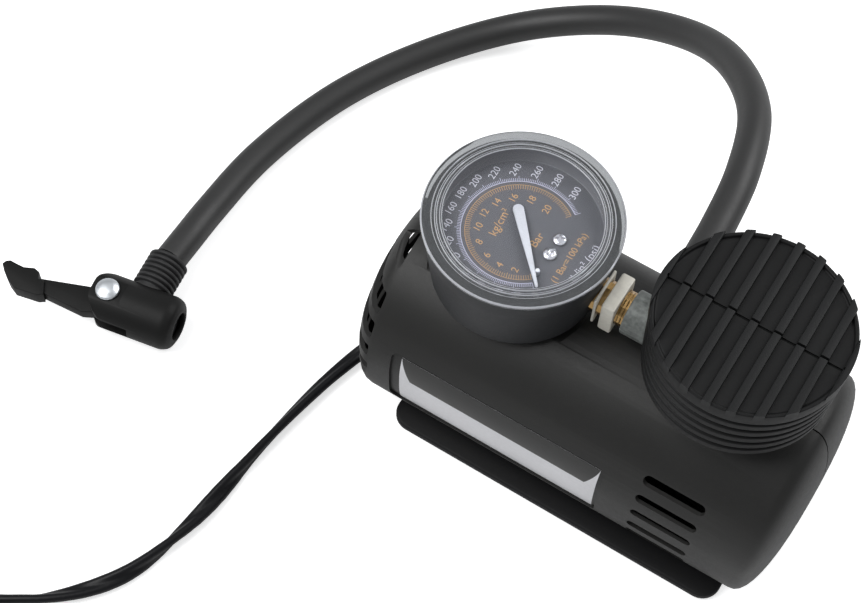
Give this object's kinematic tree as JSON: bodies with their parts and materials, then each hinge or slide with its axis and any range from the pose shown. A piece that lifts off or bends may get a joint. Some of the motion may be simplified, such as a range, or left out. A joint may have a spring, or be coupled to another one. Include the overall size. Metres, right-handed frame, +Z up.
{
  "type": "portable tire inflator",
  "caption": "Small piston air compressor: barrel housing on a base plate, dial gauge, ribbed cylinder cap, air hose with a lever valve chuck, and a twin power cord.",
  "frame": {"origin": "on the ground under the middle of the compressor's own box, hose and cord left out", "axes": "+X along the barrel towards the cylinder end, +Y to the back, where the hose leaves, +Z up"},
  "size_m": [0.2492, 0.3796, 0.096],
  "materials": {
    "housing": "fine satin grain, charcoal black",
    "cap": "satin moulded plastic, black",
    "base": "matt black plastic",
    "foot_rubber": "matt rubber",
    "steel": "plain bright steel",
    "plated": "bright plated",
    "zinc": "as-cast zinc alloy, dull grey",
    "brass": "plain turned brass",
    "magnet": "dark ferrite",
    "carbon": "dull carbon",
    "inner_plastic": "nylon",
    "cup_rubber": "soft dark rubber",
    "case": "dark grey satin plastic",
    "lens": "clear moulded plastic lens, polished",
    "dial": "satin dark grey paint with bare printed scales",
    "needle": "light silver paint",
    "stem_white": "off-white plated zinc",
    "hose": "smooth dark grey rubber",
    "trim_rubber": "black rubber",
    "cord": "black flexible insulation",
    "tool_plastic": "satin black hard plastic"
  },
  "bodies": {
    "compressor": {"front_housing": "housing", "rear_housing": "housing", "cylinder_cap": "cap", "base_plate": "base", "foot_1": "foot_rubber", "foot_2": "foot_rubber", "foot_3": "foot_rubber", "foot_4": "foot_rubber", "housing_screw_1": "steel", "housing_screw_2": "steel", "housing_screw_3": "steel", "housing_screw_4": "steel", "motor_screw_1": "steel", "motor_screw_2": "steel", "head_screw_1": "steel", "head_screw_2": "steel", "gear_axle": "steel", "valve_plate": "steel", "dial_screw_1": "steel", "dial_screw_2": "steel", "chuck_rivet": "steel", "motor_can": "plated", "plug_ring": "plated", "plug_contact_1": "plated", "plug_contact_2": "plated", "crank_frame": "zinc", "cylinder_head": "zinc", "hose_barb": "brass", "gauge_socket": "brass", "bourdon_tube": "brass", "magnet_1": "magnet", "magnet_2": "magnet", "brush_1": "carbon", "brush_2": "carbon", "motor_end_bell": "inner_plastic", "chuck_seal": "cup_rubber", "gauge_case": "case", "gauge_lens": "lens", "gauge_dial": "dial", "gauge_flange": "stem_white", "gauge_nut": "stem_white", "air_hose": "hose", "hose_collar": "trim_rubber", "cord_grommet": "trim_rubber", "cord_tie": "trim_rubber", "power_cord": "cord", "cord_coil": "cord", "cord_tail": "cord", "chuck_body": "tool_plastic", "plug_body": "tool_plastic"},
    "armature": {"rotor": "steel", "pinion": "brass"},
    "crank_wheel": {"crank_gear": "inner_plastic", "crank_pin": "steel"},
    "piston": {"piston_rod": "zinc", "piston_cup": "cup_rubber"},
    "needle": {"gauge_needle": "needle"},
    "sector": {"sector_gear": "brass"},
    "lever": {"chuck_lever": "tool_plastic"},
    "tip": {"plug_tip": "brass"}
  },
  "joints": [
    {"name": "motor_spin", "type": "hinge", "parent": "compressor", "child": "armature", "pos_m": [0, 0, 0.036], "axis": [1, 0, 0], "continuous": true},
    {"name": "crank_spin", "type": "hinge", "parent": "compressor", "child": "crank_wheel", "pos_m": [0.022, 0, 0.0204], "axis": [1, 0, 0], "continuous": true},
    {"name": "piston_stroke", "type": "slide", "parent": "compressor", "child": "piston", "axis": [0, 0, 1], "range_m": [-0.012, 0]},
    {"name": "needle_turn", "type": "hinge", "parent": "compressor", "child": "needle", "pos_m": [-0.0293, 0, 0.08], "axis": [0, 0, -1], "range_deg": [0, 260], "stiffness_Nm_per_rad": 0.0002},
    {"name": "sector_turn", "type": "hinge", "parent": "compressor", "child": "sector", "pos_m": [-0.0379, 0, 0.067], "axis": [0, 0, -1], "range_deg": [-53.5, 0.5]},
    {"name": "lever_turn", "type": "hinge", "parent": "compressor", "child": "lever", "pos_m": [-0.1363, -0.0469, 0.0082], "axis": [0, 0, 1], "range_deg": [0, 90]},
    {"name": "tip_press", "type": "slide", "parent": "compressor", "child": "tip", "axis": [0, 1, 0], "range_m": [0, 0.003], "stiffness_N_per_m": 400}
  ],
  "couplings": [
    {"joint": "crank_spin", "follows": "motor_spin", "ratio": -0.2093},
    {"joint": "sector_turn", "follows": "needle_turn", "ratio": -0.2028}
  ]
}
